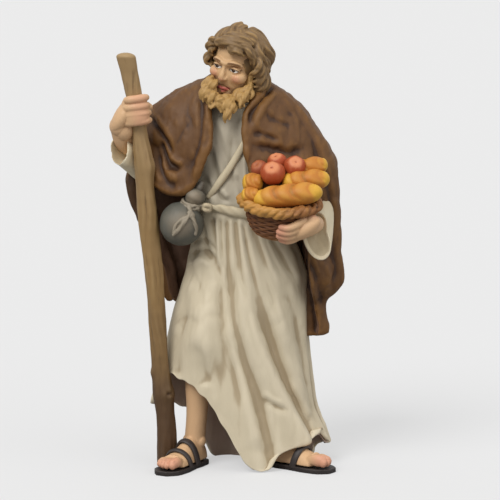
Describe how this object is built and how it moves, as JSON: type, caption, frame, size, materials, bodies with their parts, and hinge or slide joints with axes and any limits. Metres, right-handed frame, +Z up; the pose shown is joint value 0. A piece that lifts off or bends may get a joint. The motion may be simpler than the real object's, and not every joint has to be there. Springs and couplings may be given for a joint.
{
  "type": "nativity shepherd figurine",
  "caption": "Standing bearded shepherd in a long tunic and cloak, with a staff in one hand and a basket of bread and apples on the other; hand-painted carved look.",
  "frame": {"origin": "under the middle of the figurine's box, on the surface it stands on", "axes": "+Z up; the figure looks along -Y; its left hand, with the basket, is on +X"},
  "size_m": [0.0778, 0.055, 0.1495],
  "materials": {
    "tunic_cream": "semi-matte paint",
    "bodice_grey": "semi-matte paint",
    "cloak_brown": "semi-matte paint",
    "skin": "satin paint",
    "hair_brown": "semi-matte paint",
    "beard_blond": "semi-matte paint",
    "staff_brown": "semi-matte stain",
    "basket_brown": "semi-matte paint",
    "rim_brown": "semi-matte paint",
    "crust": "satin paint",
    "apple_red": "satin paint",
    "apple_dark": "satin paint",
    "gourd_grey": "satin paint",
    "cord_beige": "semi-matte paint",
    "sandal_dark": "semi-matte paint"
  },
  "bodies": {
    "root": {"tunic_skirt": "tunic_cream", "tunic_bodice": "bodice_grey", "girdle": "cord_beige", "girdle_knot": "cord_beige", "shoulder_strap": "cord_beige", "cloak": "cloak_brown", "head": "skin", "hair": "hair_brown", "beard": "beard_blond", "right_sleeve": "tunic_cream", "right_hand": "skin", "staff": "staff_brown", "left_sleeve": "tunic_cream", "left_hand": "skin", "basket_bowl": "basket_brown", "basket_rim": "rim_brown", "loaf_front": "crust", "loaf_middle": "crust", "loaf_back": "crust", "apple_front": "apple_red", "apple_right": "apple_red", "apple_back": "apple_red", "apple_dark": "apple_dark", "bun_upper": "crust", "bun_lower": "crust", "gourd_flask": "gourd_grey", "gourd_stopper": "sandal_dark", "gourd_tie": "cord_beige", "right_leg": "skin", "left_foot": "skin", "right_sole": "sandal_dark", "left_sole": "sandal_dark", "right_strap_front": "sandal_dark", "right_strap_rear": "sandal_dark", "left_strap": "sandal_dark"}
  },
  "joints": []
}
